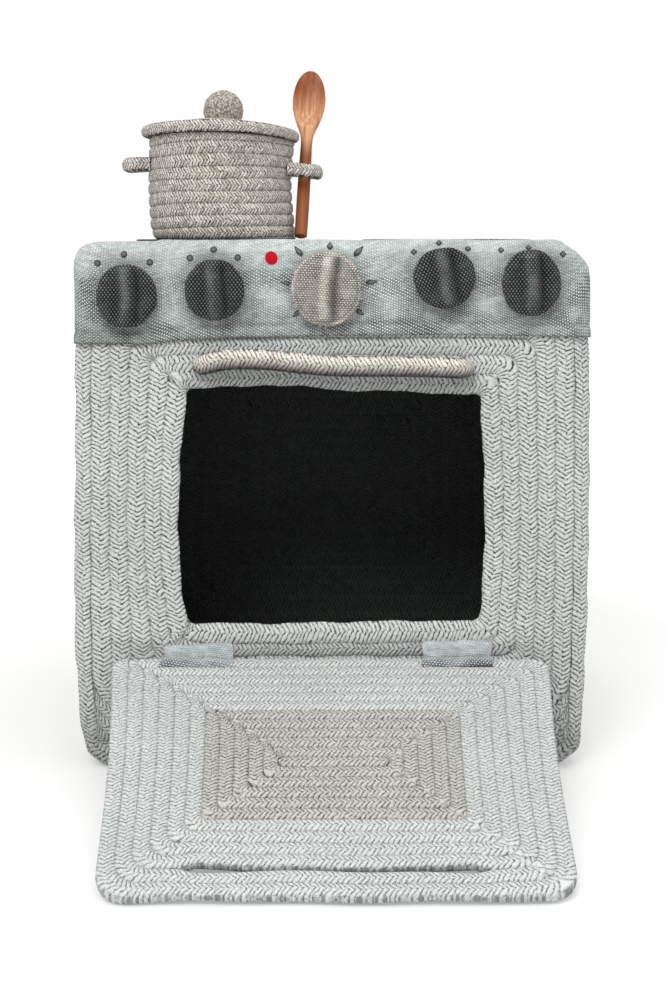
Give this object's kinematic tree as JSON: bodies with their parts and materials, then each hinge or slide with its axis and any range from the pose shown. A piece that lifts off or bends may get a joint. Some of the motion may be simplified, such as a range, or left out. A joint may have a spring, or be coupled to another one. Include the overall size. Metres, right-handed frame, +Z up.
{
  "type": "basket play kitchen",
  "caption": "Coiled-rope basket oven with a drop-down rope door, a canvas hob cover with turning knobs, and a rope pot with lid and wooden spoon.",
  "frame": {"origin": "on the floor, under the middle of the basket", "axes": "+Z up, -Y out of the oven's face, +X to the right seen from the front"},
  "size_m": [0.384, 0.5399, 0.531],
  "materials": {
    "light_rope": "braided cotton rope, matt",
    "door_rope": "braided cotton rope, matt",
    "window_rope": "braided cotton rope, matt",
    "dark_rope": "braided cotton rope, matt",
    "canvas": "coarse woven cotton, matt",
    "strap_canvas": "woven webbing, matt",
    "dark_canvas": "coarse woven cotton, matt",
    "ecru_canvas": "coarse woven cotton, matt",
    "warm_rope": "braided cotton rope, matt",
    "pot_rope": "mottled cotton rope, matt",
    "red_felt": "stitched thread, matt",
    "shank_cord": "cord, matt",
    "spoon_wood": "oiled wood, satin"
  },
  "bodies": {
    "kitchen": {"front_panel": "light_rope", "basket_wall": "light_rope", "back_panel": "light_rope", "oven_lining": "dark_rope", "canvas_cover": "canvas", "pilot_light": "red_felt", "burner_1": "dark_canvas", "burner_2": "dark_canvas", "burner_3": "dark_canvas", "burner_4": "dark_canvas", "door_handle_rope": "warm_rope", "hinge_strap_left": "strap_canvas", "hinge_strap_right": "strap_canvas"},
    "door": {"door_frame": "door_rope", "door_window": "window_rope"},
    "knob_1": {"knob_1": "dark_canvas", "knob_1_shank": "shank_cord"},
    "knob_2": {"knob_2": "dark_canvas", "knob_2_shank": "shank_cord"},
    "knob_3": {"knob_3": "ecru_canvas", "knob_3_shank": "shank_cord"},
    "knob_4": {"knob_4": "dark_canvas", "knob_4_shank": "shank_cord"},
    "knob_5": {"knob_5": "dark_canvas", "knob_5_shank": "shank_cord"},
    "pot": {"pot_body": "pot_rope", "pot_handle_left": "pot_rope", "pot_handle_right": "pot_rope"},
    "lid": {"pot_lid": "pot_rope", "lid_knob": "pot_rope"},
    "spoon": {"spoon": "spoon_wood"}
  },
  "joints": [
    {"name": "door_hinge", "type": "hinge", "parent": "kitchen", "child": "door", "pos_m": [0, -0.1574, 0.081], "axis": [-1, 0, 0], "range_deg": [0, 108.5]},
    {"name": "knob_1_turn", "type": "hinge", "parent": "kitchen", "child": "knob_1", "pos_m": [-0.15048, -0.1523, 0.35504], "axis": [0, -1, 0], "range_deg": [-90, 90]},
    {"name": "knob_2_turn", "type": "hinge", "parent": "kitchen", "child": "knob_2", "pos_m": [-0.08645, -0.1523, 0.35933], "axis": [0, -1, 0], "range_deg": [-90, 90]},
    {"name": "knob_3_turn", "type": "hinge", "parent": "kitchen", "child": "knob_3", "pos_m": [-0.00513, -0.1523, 0.36037], "axis": [0, -1, 0], "range_deg": [-135, 135]},
    {"name": "knob_4_turn", "type": "hinge", "parent": "kitchen", "child": "knob_4", "pos_m": [0.08056, -0.1523, 0.36821], "axis": [0, -1, 0], "range_deg": [-90, 90]},
    {"name": "knob_5_turn", "type": "hinge", "parent": "kitchen", "child": "knob_5", "pos_m": [0.14364, -0.1523, 0.36451], "axis": [0, -1, 0], "range_deg": [-90, 90]},
    {"name": "pot_lift", "type": "slide", "parent": "kitchen", "child": "pot", "axis": [0, 0, 1], "range_m": [0, 0.1]},
    {"name": "lid_lift", "type": "slide", "parent": "pot", "child": "lid", "axis": [0, 0, 1], "range_m": [0, 0.08]},
    {"name": "spoon_lift", "type": "slide", "parent": "pot", "child": "spoon", "axis": [0.047, 0.4384, 0.8976], "range_m": [0, 0.15]}
  ]
}
